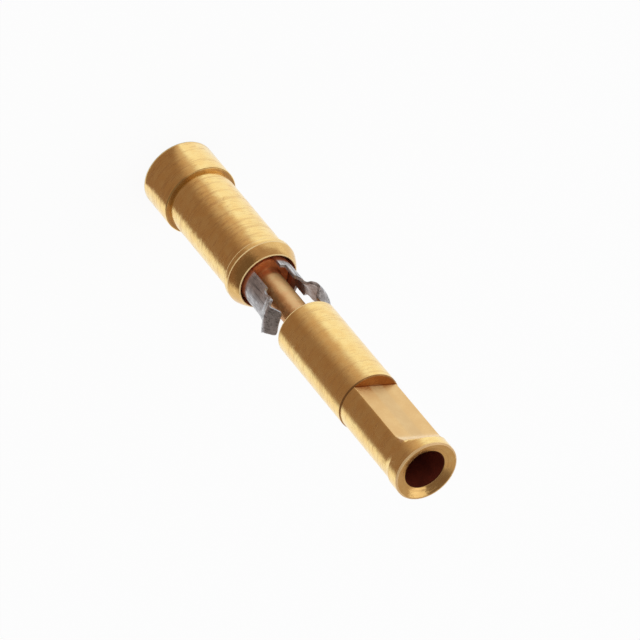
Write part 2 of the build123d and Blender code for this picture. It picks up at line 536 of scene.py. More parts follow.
@dataclass(frozen=True)
class BrushedSteel(Finish):
    """Thin spring sheet, brushed lengthwise, with stains and faint heat tints, and painted shade and
    reflection on its inner faces and just above the hood mouth.
    """

    effects: SurfaceEffects
    name: str = "brushed_spring_steel"
    colour: Colour = (0.63, 0.63, 0.645)
    tint: Colour = (0.41, 0.405, 0.415)
    stain: Colour = (0.13, 0.13, 0.13)
    stain_share: float = 0.8
    metallic: float = 0.86
    # Painted shade and reflection: brown on the faces that turn towards the axis.
    inner_shade_tone: Colour = (0.32, 0.21, 0.16)
    inner_shade_share: float = 0.8
    inner_shade_lean: Pair = (-0.60, -0.25)
    # Painted shade and reflection: dark red-brown, half matt steel just above the hood mouth.
    mouth_shade_tone: Colour = (0.42, 0.13, 0.05)
    mouth_shade_metallic: float = 0.3
    mouth_shade_reach: Pair = (0.06, 0.26)
    base_roughness: float = 0.30
    rough_swing: float = 0.30
    grain_roughness: float = 0.12
    grain_size: float = 0.30
    brush_waves: float = 17000.0
    brush_limits: Pair = (0.50, 0.68)
    brush_squeeze: float = 0.06
    brush_depth: float = 0.0016

    def build(self) -> Material:
        """Build the material."""
        material, sheet, shader, place = self.start(self.name)
        grain = self.place(sheet, self.effects.grain, Vector=place, Size=self.grain_size * MM)["Coarse"]
        spread = sheet.vector("MULTIPLY", place, (1.0, 1.0, self.brush_squeeze))
        brushed = sheet.noise(spread, self.brush_waves)
        dark = sheet.times(sheet.fade(brushed, *self.brush_limits), self.stain_share)
        colour = sheet.tint(dark, sheet.tint(grain, self.colour, self.tint), self.stain)
        spot = sheet.split(place)
        # Painted shade and reflection: faces that turn towards the axis are tinted brown.
        outward = sheet.vector("NORMALIZE", sheet.combine(spot[0], spot[1], 0.0))
        lean = sheet.vector("DOT_PRODUCT", sheet.add("ShaderNodeNewGeometry").outputs["Normal"], outward)
        inner = sheet.fade(lean, *self.inner_shade_lean, self.inner_shade_share, 0.0)
        colour = sheet.tint(inner, colour, self.inner_shade_tone)
        # Painted shade and reflection: the steel turns red-brown and less metallic just above the hood
        # mouth.
        limits = [(node_height(Part.HOOD, 1) + reach) * MM for reach in self.mouth_shade_reach]
        mouth = sheet.fade(spot[2], *limits, 1.0, 0.0)
        rough = self.base_roughness - self.rough_swing / 2
        rough = sheet.math("MULTIPLY_ADD", brushed, self.rough_swing, rough)
        rough = sheet.math("MULTIPLY_ADD", grain, self.grain_roughness, rough)
        sheet.feed(shader["Base Color"], sheet.tint(mouth, colour, self.mouth_shade_tone))
        sheet.feed(shader["Roughness"], rough)
        sheet.feed(shader["Metallic"], sheet.blend(mouth, self.metallic, self.mouth_shade_metallic))
        sheet.feed(shader["Normal"], self.bump(sheet, self.brush_depth, Height=brushed))
        return material


def link(name: str, data: object) -> Piece:
    """Make an object with this data and put it in the scene."""
    piece = bpy.data.objects.new(name, data)
    bpy.context.scene.collection.objects.link(piece)
    return piece


def apply_modifiers(piece: Piece) -> None:
    """Keep the evaluated shape as a plain mesh and remove the modifiers."""
    raw = piece.data
    shape = piece.evaluated_get(bpy.context.evaluated_depsgraph_get())
    result = bpy.data.meshes.new_from_object(shape)
    piece.modifiers.clear()
    piece.data = result
    result.name = piece.name
    bpy.data.meshes.remove(raw)


def finish_mesh(piece: Piece, crease: float) -> None:
    """Turn the faces outwards, shade them smooth and keep the real edges sharp.

    Args:
        piece: The object whose mesh is finished.
        crease: The angle in degrees past which an edge stays sharp.
    """
    shape = bmesh.new()
    shape.from_mesh(piece.data)
    bmesh.ops.recalc_face_normals(shape, faces=shape.faces)
    shape.to_mesh(piece.data)
    shape.free()
    piece.data.shade_smooth()
    piece.data.set_sharp_from_angle(angle=math.radians(crease))


def enrol(piece: Piece, slot: Slot, *nodes: Part) -> None:
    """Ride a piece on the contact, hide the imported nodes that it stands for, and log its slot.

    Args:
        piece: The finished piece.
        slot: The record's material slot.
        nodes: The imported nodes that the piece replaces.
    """
    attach(piece, "root")
    for node in nodes:
        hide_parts(node.value)
    log.info("%s: %d faces, %s", piece.name, len(piece.data.polygons), slot.value)


@dataclass
class Corner:
    """One corner of an outline: its radius and height, and the rounding there."""

    radius: float
    height: float
    rounding: float = 0.0


def straight_run(radius: float, start: float, end: float, step: float) -> list[Corner]:
    """Corners at even distances of about a step along one radius, ends included."""
    rows = round((end - start) / step)
    return [Corner(radius, start + (end - start) * row / rows) for row in range(rows + 1)]


def rounded(corners: list[Corner], step: float) -> list[Pair]:
    """Round the corners of an open line and divide its straight runs.

    Args:
        corners: The line's corners, each with its rounding.
        step: The longest distance between two points of a straight run.

    Returns:
        (radius, height) points along the line.
    """
    spots = [Vector((corner.radius, corner.height)) for corner in corners]
    line = [spots[0]]
    for before, corner, here, after in zip(spots, corners[1:-1], spots[1:-1], spots[2:]):
        incoming = (here - before).normalized()
        outgoing = (after - here).normalized()
        bend = incoming.angle(outgoing)
        trim = corner.rounding * math.tan(bend / 2)
        side = outgoing - incoming * outgoing.dot(incoming)
        centre = here - incoming * trim
        if corner.rounding:
            side.normalize()
            centre += side * corner.rounding
        steps = ARC_STEPS if corner.rounding else 0
        for index in range(steps + 1):
            turn = bend * index / max(steps, 1)
            spoke = incoming * math.sin(turn) - side * math.cos(turn)
            line.append(centre + spoke * corner.rounding)
    line.append(spots[-1])
    divided = [line[0]]
    for start, end in zip(line, line[1:]):
        count = max(math.ceil((end - start).length / step - SLACK), 1)
        divided += [start.lerp(end, index / count) for index in range(1, count + 1)]
    return [(spot.x, spot.y) for spot in divided]


class GeometryTree:
    """Base of the Geometry Nodes trees: named inputs, and a result with its material."""

    NAME = ""
    INPUTS: dict[str, str] = {}

    def __init__(self) -> None:
        """Build the tree."""
        self.tree = bpy.data.node_groups.new(self.NAME, "GeometryNodeTree")
        self.keys: dict[str, str] = {}
        for name, kind in self.INPUTS.items():
            socket = self.tree.interface.new_socket(name, in_out="INPUT", socket_type=kind)
            self.keys[name] = socket.identifier
        self.tree.interface.new_socket("Piece", in_out="OUTPUT", socket_type=GEOMETRY)
        self.sheet = NodeSheet(self.tree)
        self.given = self.sheet.add("NodeGroupInput").outputs
        real = self.sheet.get("GeometryNodeRealizeInstances", {"Geometry": self.shape()})
        finish = {"Geometry": real, "Material": self.given["Finish"]}
        dressed = self.sheet.get("GeometryNodeSetMaterial", finish)
        self.sheet.feed(self.sheet.add("NodeGroupOutput").inputs[0], dressed)

    def shape(self) -> Socket:
        """Build the nodes that make the shape."""
        raise NotImplementedError

    def run(self, name: str, mesh: bpy.types.Mesh, sizes: dict[str, object]) -> Piece:
        """Run the tree on a mesh and keep its result as a plain mesh.

        Args:
            name: The piece's name.
            mesh: The mesh that the tree starts from.
            sizes: Values of the tree's inputs by name, lengths in millimetres.

        Returns:
            The piece, without the modifier.
        """
        piece = link(name, mesh)
        modifier = piece.modifiers.new("maker", "NODES")
        modifier.node_group = self.tree
        for key, value in sizes.items():
            modifier[self.keys[key]] = value * MM if self.INPUTS[key] == FLOAT else value
        apply_modifiers(piece)
        return piece


@dataclass(frozen=True)
class MilledFlat:
    """A flat with a rounded run-out, in millimetres. As it stands, it misses any piece."""

    distance: float = 9.0
    start: float = 99.0
    run_out: float = 99.0
    cutter: float = 1.0
    softness: float = 0.0


class LatheTree(GeometryTree):
    """Geometry Nodes that turn an outline about Z and mill a flat into it."""

    NAME = "turn_on_lathe"
    INPUTS = {
        "Outline": GEOMETRY,
        "Columns": WHOLE,
        "Round steps": WHOLE,
        "Closed outline": FLAG,
        "Flat distance": FLOAT,
        "Flat start": FLOAT,
        "Run-out start": FLOAT,
        "Cutter radius": FLOAT,
        "Edge softness": FLOAT,
        "Finish": MATERIAL,
    }
    COLUMNS = 384
    ROUND_STEPS = 5
    WELD = 0.0001 * MM

    def shape(self) -> Socket:
        """Turn the rounded outline, mill the flat and weld the seam."""
        milled = self.mill(self.turn(self.rounded_outline()))
        return self.sheet.get("GeometryNodeMergeByDistance", {"Geometry": milled, "Distance": self.WELD})

    def position(self) -> Socket:
        """Position of the points that are worked on."""
        return self.sheet.add("GeometryNodeInputPosition").outputs[0]

    def rounded_outline(self) -> Socket:
        """Round the outline's corners by their own radii, and return it as a wire mesh."""
        sheet = self.sheet
        rounding = sheet.get("GeometryNodeInputNamedAttribute", {"Name": "rounding"}, data_type="FLOAT")
        inputs = {
            "Curve": sheet.get("GeometryNodeMeshToCurve", {0: self.given["Outline"]}),
            "Count": self.given["Round steps"],
            "Radius": rounding,
            "Limit Radius": True,
        }
        filleted = sheet.get("GeometryNodeFilletCurve", inputs, mode="POLY")
        return sheet.get("GeometryNodeCurveToMesh", {"Curve": filleted})

    def turn(self, wire: Socket) -> Socket:
        """Turn the wire about Z.

        Args:
            wire: The rounded outline as a wire mesh in the XZ plane.

        Returns:
            The turned mesh, with its seam still open.
        """
        sheet = self.sheet
        count = sheet.get("GeometryNodeAttributeDomainSize", {0: wire}, component="MESH")
        rows = sheet.math("ADD", count, self.given["Closed outline"])
        columns = sheet.math("ADD", self.given["Columns"], 1)
        size = {"Size X": 1.0, "Size Y": 1.0, "Vertices X": columns, "Vertices Y": rows}
        grid = sheet.get("GeometryNodeMeshGrid", size)
        spot = sheet.split(self.position())
        angle = sheet.times(sheet.math("ADD", spot[0], 0.5), math.tau)
        row = sheet.math("ROUND", sheet.times(sheet.math("ADD", spot[1], 0.5), sheet.less(rows, 1)))
        read = {"Geometry": wire, "Value": self.position(), "Index": sheet.math("MODULO", row, count)}
        place = sheet.get("GeometryNodeSampleIndex", read, data_type="FLOAT_VECTOR", domain="POINT")
        outline = sheet.split(place)
        across = sheet.times(outline[0], sheet.math("COSINE", angle))
        deep = sheet.times(outline[0], sheet.math("SINE", angle))
        moved = {"Geometry": grid, "Position": sheet.combine(across, deep, outline[2])}
        return sheet.get("GeometryNodeSetPosition", moved)

    def mill(self, piece: Socket) -> Socket:
        """Mill the flat with its rounded run-out.

        Args:
            piece: The turned mesh.

        Returns:
            The mesh with the flat pressed in from -Y.
        """
        sheet = self.sheet
        given = self.given
        spot = sheet.split(self.position())
        past = sheet.math("MAXIMUM", sheet.less(spot[2], given["Run-out start"]), 0.0)
        square = sheet.math("POWER", given["Cutter radius"], 2.0)
        left = sheet.math("MAXIMUM", sheet.less(square, sheet.math("POWER", past, 2.0)), 0.0)
        rise = sheet.less(given["Cutter radius"], sheet.math("SQRT", left))
        depth = sheet.times(sheet.math("ADD", given["Flat distance"], rise), -1.0)
        pressed = sheet.math("SMOOTH_MAX", spot[1], depth, given["Edge softness"])
        moved = {
            "Geometry": piece,
            "Selection": sheet.math("GREATER_THAN", spot[2], given["Flat start"]),
            "Position": sheet.combine(spot[0], pressed, spot[2]),
        }
        return sheet.get("GeometryNodeSetPosition", moved)

    def make(self, name: str, outline: list[Corner], closed: bool, gold: Material,
             flat: MilledFlat = MilledFlat()) -> Piece:
        """Turn one piece.

        Args:
            name: The piece's name.
            outline: The outline's corners in order.
            closed: Whether the outline closes on itself, as a sleeve's does.
            gold: The piece's material.
            flat: The flat that is milled into it.

        Returns:
            The piece, with its mesh finished.
        """
        mesh = bpy.data.meshes.new(name)
        edges = [(index, index + 1) for index in range(len(outline) - 1)]
        if closed:
            edges.append((len(outline) - 1, 0))
        mesh.from_pydata([(c.radius * MM, 0.0, c.height * MM) for c in outline], edges, [])
        rounding = mesh.attributes.new("rounding", "FLOAT", "POINT")
        for index, corner in enumerate(outline):
            rounding.data[index].value = corner.rounding * MM
        sizes = {
            "Columns": self.COLUMNS,
            "Round steps": self.ROUND_STEPS,
            "Closed outline": closed,
            "Flat distance": flat.distance,
            "Flat start": flat.start,
            "Run-out start": flat.run_out,
            "Cutter radius": flat.cutter,
            "Edge softness": flat.softness,
            "Finish": gold,
        }
        piece = self.run(name, mesh, sizes)
        finish_mesh(piece, TURNED_CREASE)
        return piece


@dataclass
class ContactBody:
    """The turned body: socket, collar, clip seat, neck, middle section and crimp barrel."""

    total_length: float = from_node(Part.BODY, 1)
    socket_end: float = from_node(Part.BODY, 0)
    hood_length: float = from_node(Part.HOOD, 1)
    wire_bore_radius: float = from_mount("wire_bore")
    socket_radius: float = from_mount("mating_socket")
    entry_taper: float = 0.21
    entry_depth: float = 1.60
    entry_round: float = 0.03
    countersink: float = 0.36
    countersink_depth: float = 0.15
    wire_bore_depth: float = 5.60
    barrel_wall: float = 0.40
    barrel_length: float = 4.43
    rim_height: float = 0.06
    rim_length: float = 0.65
    rim_slope: float = 0.24
    slope_round: float = 0.08
    rim_round: float = 0.07
    middle_step: float = 0.04
    middle_length: float = 4.94
    edge_break: float = 0.04
    edge_round: float = 0.015
    hair: float = 0.001
    flat_wall: float = 0.175
    flat_runout_start: float = 1.35
    cutter_radius: float = 1.10
    neck_radius: float = 0.554
    neck_round: float = 0.10
    seat_radius: float = 0.95
    seat_recess: float = 0.10
    collar_radius: float = 1.205
    collar_length: float = 1.50
    collar_top: float = 5.39
    finger_wall: float = 0.28
    finger_length: float = 3.00
    socket_depth: float = 4.45
    drill_angle: float = 118.0
    row_step: float = 0.03

    def __post_init__(self) -> None:
        """Work out the heights and radii that outlines and zones share."""
        self.barrel_bottom = self.total_length - self.barrel_length
        self.middle_bottom = self.barrel_bottom - self.middle_length
        self.run_out = self.total_length - self.flat_runout_start
        self.entry_radius = self.wire_bore_radius + self.entry_taper
        self.barrel_radius = self.entry_radius + self.barrel_wall
        self.middle_radius = self.barrel_radius + self.middle_step
        self.rim_radius = self.barrel_radius + self.rim_height
        self.flat_distance = self.wire_bore_radius + self.flat_wall

    def cone(self, radius: float) -> float:
        """Height of the point that a drill of this radius leaves."""
        return radius / math.tan(math.radians(self.drill_angle / 2))

    def socket_outline(self) -> list[Corner]:
        """Outline from the socket's drill point to the clip seat."""
        bore_top = self.socket_end + self.socket_depth
        finger_root = self.socket_end + self.finger_length
        finger_radius = self.socket_radius + self.finger_wall
        collar_bottom = self.collar_top - self.collar_length
        seat_top = self.hood_length - self.seat_recess
        small = self.edge_break
        return [
            Corner(0, bore_top + self.cone(self.socket_radius)),
            Corner(self.socket_radius, bore_top),
            Corner(self.socket_radius, finger_root),
            Corner(finger_radius, finger_root),
            Corner(finger_radius, collar_bottom),
            Corner(self.collar_radius - small, collar_bottom),
            Corner(self.collar_radius, collar_bottom + small),
            Corner(self.collar_radius, self.collar_top - small),
            Corner(self.collar_radius - small, self.collar_top),
            Corner(self.seat_radius, self.collar_top),
            Corner(self.seat_radius, seat_top - small, self.edge_round),
            Corner(self.seat_radius - small, seat_top, self.edge_round),
            Corner(self.neck_radius, seat_top, self.neck_round),
        ]

    def barrel_outline(self) -> list[Corner]:
        """Outline of the middle section and the crimp barrel, with rows where the flat runs out."""
        rim_bottom = self.total_length - self.rim_length
        rim_end = self.total_length - self.rim_round - self.edge_break
        small = self.edge_break
        step = self.row_step
        return [
            Corner(self.neck_radius, self.middle_bottom),
            Corner(self.middle_radius - small, self.middle_bottom, self.edge_round),
            Corner(self.middle_radius, self.middle_bottom + small, self.edge_round),
            Corner(self.middle_radius, self.barrel_bottom - small, self.edge_round),
            Corner(self.barrel_radius, self.barrel_bottom),
            Corner(self.barrel_radius - self.hair, self.barrel_bottom + self.hair),
            *straight_run(self.barrel_radius, self.run_out, rim_bottom - self.rim_slope, step),
            Corner(self.rim_radius, rim_bottom, self.slope_round),
            *straight_run(self.rim_radius, rim_bottom, rim_end, step)[1:],
            Corner(self.rim_radius, self.total_length, self.rim_round),
        ]

    def wire_entry_outline(self) -> list[Corner]:
        """Outline of the countersunk entry and the wire bore, down to its drill point."""
        bore_bottom = self.total_length - self.wire_bore_depth
        return [
            Corner(self.entry_radius + self.countersink, self.total_length, self.edge_round),
            Corner(self.entry_radius, self.total_length - self.countersink_depth, self.entry_round),
            Corner(self.wire_bore_radius, self.total_length - self.entry_depth),
            Corner(self.wire_bore_radius, bore_bottom),
            Corner(0, bore_bottom - self.cone(self.wire_bore_radius)),
        ]

    def zones(self) -> tuple[Zone, ...]:
        """The stretches that differ from the bright gold, real finishes or painted light and shade; a later
        one covers an earlier one.
        """
        top = self.total_length
        step = self.barrel_bottom
        shoulder = self.middle_bottom
        mouth = self.hood_length
        barrel = self.barrel_radius
        middle = self.middle_radius
        neck_reach = (0.0, self.neck_radius + 0.046)
        neck = Zone((1.0, 0.62, 0.27), (0.74, 0.37, 0.14), 0.40, metallic=0.66, marks_kept=2.5,
                    radius=neck_reach, height=(mouth - 0.10, shoulder - 0.01))
        # Painted light: the neck's -Y side made paler and matt, where light falls on it.
        neck_painted_light = Zone((1.0, 0.70, 0.33), (0.98, 0.58, 0.25), 0.42, metallic=0.15, marks_kept=1.0,
                          radius=(0.0, self.neck_radius + 0.006), height=(mouth + 0.3, shoulder - 0.40),
                          front=-0.36, softness=0.15)
        # Painted shade: the neck darker and redder where it goes into the hood mouth.
        neck_root_shade = Zone((0.95, 0.44, 0.18), (0.75, 0.27, 0.09), 0.45, metallic=0.6, marks_kept=1.0,
                         radius=neck_reach, height=(mouth - 0.15, mouth + 0.08), softness=0.20)
        # Painted shade: the neck darker just under the middle section.
        neck_end_shade = Zone((0.80, 0.40, 0.16), (0.60, 0.26, 0.09), 0.45, metallic=0.7, marks_kept=1.0,
                        radius=neck_reach, height=(shoulder - 0.20, shoulder - 0.01), softness=0.20)
        # Painted shade and reflection: the clip seat inside the hood made red-orange and half matt, for the
        # glow of gold in its shade.
        seat = Zone((0.96, 0.36, 0.12), (0.70, 0.21, 0.06), 0.40, metallic=0.55,
                    radius=(self.neck_radius + 0.046, self.seat_radius + 0.05),
                    height=(self.collar_top - 0.39, mouth + 0.1))
        # Painted shade: the wire bore made almost black-red down its depth.
        bore = Zone((0.20, 0.026, 0.008), (0.13, 0.015, 0.004), 0.55, metallic=0.5,
                    radius=(0.0, self.entry_radius - 0.005),
                    height=(top - self.wire_bore_depth - 0.5, top - 0.17), softness=0.04)
        flat = Zone((0.93, 0.66, 0.31), (0.88, 0.60, 0.27), 0.46, marks_kept=0.4,
                    height=(step, top - 0.80), front=0.008 - self.flat_distance, softness=0.006)
        # Painted highlight: the flat's run-out made paler, for the light that it catches.
        run_out = Zone((1.0, 0.80, 0.50), (0.98, 0.74, 0.42), 0.35, metallic=0.85,
                       radius=(0.0, barrel - 0.025), height=(self.run_out - 0.01, top - 0.80),
                       front=0.005 - self.flat_distance, softness=0.05)
        # Painted shade: the step's wall made dark orange-brown.
        step_wall_shade = Zone((0.56, 0.27, 0.10), (0.44, 0.20, 0.07), 0.28,
                         radius=(self.flat_distance - 0.005, barrel + 0.01),
                         height=(step - 0.02, step + 0.012), softness=0.01)
        # Painted shade: a darker line round the step's edge.
        step_edge_shade = Zone((0.66, 0.41, 0.17), (0.55, 0.33, 0.13), 0.35,
                         radius=(barrel - 0.005, middle + 0.02),
                         height=(step - 0.05, step + 0.01), softness=0.012)
        # Painted shade: a dark line where the step's wall meets the flat.
        step_foot_shade = Zone((0.52, 0.25, 0.08), (0.42, 0.18, 0.06), 0.35,
                         radius=(0.0, barrel - 0.01), height=(step + 0.006, step + 0.035),
                         front=0.008 - self.flat_distance, softness=0.008)
        # Painted highlight: a pale line round the middle section's lower edge.
        middle_edge_highlight = painted_edge_highlight((middle - 0.07, middle + 0.02), (shoulder - 0.01, shoulder + 0.07))
        # Painted highlight: a pale, half matt line round the rim's outer edge.
        rim_edge_highlight = Zone((1.0, 0.72, 0.38), (0.90, 0.62, 0.30), 0.40, metallic=0.45,
                        radius=(barrel - 0.005, self.rim_radius + 0.10), height=(top - 0.055, top + 0.1))
        necks = (neck, neck_painted_light, neck_root_shade, neck_end_shade)
        # Painted shade along the step, painted highlights on the middle section's and rim's edges.
        edges = (step_edge_shade, step_foot_shade, middle_edge_highlight, rim_edge_highlight)
        return (*necks, seat, bore, flat, run_out, step_wall_shade, *edges)

    def build(self, lathe: LatheTree, gold: Material) -> None:
        """Turn, mill and dress the body."""
        outline = self.socket_outline() + self.barrel_outline() + self.wire_entry_outline()
        start = self.barrel_bottom + self.hair / 2
        flat = MilledFlat(self.flat_distance, start, self.run_out, self.cutter_radius, self.edge_round)
        enrol(lathe.make("turned_body", outline, False, gold, flat), Slot.GOLD_PLATE, Part.BODY)


class FingerTree(GeometryTree):
    """Geometry Nodes that sweep one spring finger and set the others round the axis."""

    NAME = "set_fingers_round"
    INPUTS = {
        "Start": GEOMETRY,
        "Count": WHOLE,
        "Middle radius": FLOAT,
        "Wall": FLOAT,
        "Length": FLOAT,
        "Bottom": FLOAT,
        "Slot width": FLOAT,
        "Edge round": FLOAT,
        "Arc steps": WHOLE,
        "Finish": MATERIAL,
    }
    EDGE_STEPS = 4

    def shape(self) -> Socket:
        """Sweep the finger's section along its arc, and copy it round."""
        sheet = self.sheet
        given = self.given
        pitch = sheet.math("DIVIDE", math.tau, given["Count"])
        sweep = sheet.less(pitch, sheet.math("DIVIDE", given["Slot width"], given["Middle radius"]))
        sizes = {
            "Resolution": given["Arc steps"],
            "Radius": given["Middle radius"],
            "Start Angle": sheet.times(sweep, -0.5),
            "Sweep Angle": sweep,
        }
        arc = sheet.get("GeometryNodeCurveArc", sizes, mode="RADIUS")
        sizes = {"Width": given["Wall"], "Height": given["Length"]}
        section = sheet.get("GeometryNodeCurvePrimitiveQuadrilateral", sizes)
        sizes = {"Curve": section, "Count": self.EDGE_STEPS, "Radius": given["Edge round"]}
        softened = sheet.get("GeometryNodeFilletCurve", {**sizes, "Limit Radius": True}, mode="POLY")
        sizes = {"Curve": arc, "Profile Curve": softened, "Fill Caps": True}
        finger = sheet.get("GeometryNodeCurveToMesh", sizes)
        rise = sheet.math("MULTIPLY_ADD", given["Length"], 0.5, given["Bottom"])
        sizes = {"Geometry": finger, "Translation": sheet.combine(0.0, 0.0, rise)}
        lifted = sheet.get("GeometryNodeTransform", sizes)
        spots = sheet.get("GeometryNodeMeshLine", {"Count": given["Count"], "Offset": (0.0, 0.0, 0.0)})
        index = sheet.add("GeometryNodeInputIndex").outputs[0]
        turn = sheet.combine(0.0, 0.0, sheet.times(index, pitch))
        sizes = {"Points": spots, "Instance": lifted, "Rotation": turn}
        return sheet.get("GeometryNodeInstanceOnPoints", sizes)


@dataclass
class SpringFingers:
    """The socket's spring fingers, four walls between the saw cuts."""

    bottom: float = from_node(Part.BODY, 0)
    socket_radius: float = from_mount("mating_socket")
    wall: float = 0.28
    length: float = 3.00
    root: float = 0.02
    slot_width: float = 0.22
    edge_round: float = 0.03
    count: int = 4
    arc_steps: int = 40

    def build(self, gold: Material) -> None:
        """Sweep the fingers and dress them."""
        sizes = {
            "Count": self.count,
            "Middle radius": self.socket_radius + self.wall / 2,
            "Wall": self.wall,
            "Length": self.length + self.root,
            "Bottom": self.bottom,
            "Slot width": self.slot_width,
            "Edge round": self.edge_round,
            "Arc steps": self.arc_steps,
            "Finish": gold,
        }
        fingers = FingerTree().run("spring_fingers", bpy.data.meshes.new("fingers_start"), sizes)
        finish_mesh(fingers, SHEET_CREASE)
        enrol(fingers, Slot.GOLD_PLATE, Part.BODY)


@dataclass
class HoodSleeve:
    """The turned hood: lip, front section, plain section, ring, shoulder and open mouth."""

    length: float = from_node(Part.HOOD, 1)
    front_radius: float = from_mount("hood_front")
    bore_radius: float = 1.21
    wall: float = 0.18
    mouth_wall: float = 0.025
    front_length: float = 1.91
    front_round: float = 0.06
    front_break: float = 0.04
    ring_height: float = 0.11
    ring_length: float = 0.26
    ring_round: float = 0.03
    shoulder_length: float = 0.55
    shoulder_steps: int = 14
    shoulder_bend: float = 13.0
    lip_thickness: float = 0.50
    lip_radius: float = 0.85
    lip_chamfer: float = 0.22

    def __post_init__(self) -> None:
        """Work out the heights and radii that outline and zones share."""
        self.hood_radius = self.bore_radius + self.wall
        self.ring_radius = self.hood_radius + self.ring_height
        self.ring_top = self.length - self.shoulder_length
        self.ring_bottom = self.ring_top - self.ring_length

    def shoulder(self) -> list[Corner]:
        """The rounded shoulder, a shallow arc from the ring's sharp edge to the mouth."""
        inward = self.ring_radius - self.bore_radius - self.mouth_wall
        bend = math.radians(self.shoulder_bend)
        start = math.atan2(inward, self.shoulder_length) - bend / 2
        radius = math.hypot(inward, self.shoulder_length) / (2 * math.sin(bend / 2))
        centre_radius = self.ring_radius - radius * math.cos(start)
        centre_height = self.ring_top - radius * math.sin(start)
        turns = [start + bend * step / self.shoulder_steps for step in range(self.shoulder_steps + 1)]
        corners = [
            Corner(centre_radius + radius * math.cos(turn), centre_height + radius * math.sin(turn))
            for turn in turns
        ]
        corners[0].rounding = self.ring_round
        return corners

    def zones(self) -> tuple[Zone, ...]:
        """The stretches that differ from the bright gold, real finishes or painted light and shade; a later
        one covers an earlier one.
        """
        bore, ring, front = self.bore_radius, self.ring_radius, self.front_radius
        mouth, low, high = self.length, self.ring_bottom, self.ring_top
        ring_edge = (ring - 0.03, ring + 0.10)
        # Painted reflection: the hood's inner wall made matt red-orange, for the glow of gold inside it.
        inside = Zone((0.95, 0.36, 0.14), (0.85, 0.28, 0.10), 0.50, metallic=0.0,
                      radius=(0.0, bore + 0.012), height=(self.lip_thickness, mouth - 0.02), softness=0.01)
        # Painted shade: the front section's step face made darker.
        front_step_shade = Zone((0.86, 0.60, 0.27), (0.76, 0.50, 0.21), 0.35,
                          radius=(self.hood_radius + 0.01, front - 0.06),
                          height=(self.front_length - 0.03, self.front_length + 0.02), softness=0.012)
        # Painted reflection: a dull grey line round the mating end's edge, for something dark that it
        # reflects.
        mating_edge_dark_reflection = Zone((0.46, 0.44, 0.33), (0.36, 0.33, 0.22), 0.35,
                           radius=(front - 0.06, front + 0.14), height=(-1.0, 0.05))
        # Painted shade: the shoulder made a darker amber.
        shoulder = Zone((0.86, 0.57, 0.22), (0.74, 0.47, 0.17), 0.20, marks_kept=0.8,
                        radius=(bore + 0.052, ring - 0.01), height=(high + 0.02, mouth - 0.05))
        # Painted highlights: pale lines along the ring's lower and upper edges.
        ring_low_highlight = painted_edge_highlight(ring_edge, (low, low + 0.035))
        ring_high_highlight = painted_edge_highlight(ring_edge, (high - 0.015, high + 0.02))
        # Painted highlight: a pale line along the mouth's edge.
        mouth_edge_highlight = painted_edge_highlight((bore - 0.01, bore + 0.05), (mouth - 0.025, mouth + 0.1))
        return (inside, front_step_shade, mating_edge_dark_reflection, shoulder, ring_low_highlight, ring_high_highlight, mouth_edge_highlight)

    def build(self, lathe: LatheTree, gold: Material) -> None:
        """Turn and dress the hood."""
        front_edge = self.front_radius - self.front_break
        outline = [
            Corner(self.bore_radius, self.length),
            Corner(self.bore_radius, self.lip_thickness),
            Corner(self.lip_radius, self.lip_thickness),
            Corner(self.lip_radius, self.lip_chamfer),
            Corner(self.lip_radius + self.lip_chamfer, 0),
            Corner(self.front_radius, 0, self.front_round),
            Corner(self.front_radius, self.front_length - self.front_break, self.ring_round),
            Corner(front_edge, self.front_length, self.ring_round),
            Corner(self.hood_radius, self.front_length),
            Corner(self.hood_radius, self.ring_bottom),
            Corner(self.ring_radius, self.ring_bottom, self.ring_round),
            *self.shoulder(),
        ]
        enrol(lathe.make("turned_hood", outline, True, gold), Slot.GOLD_PLATE, Part.HOOD)


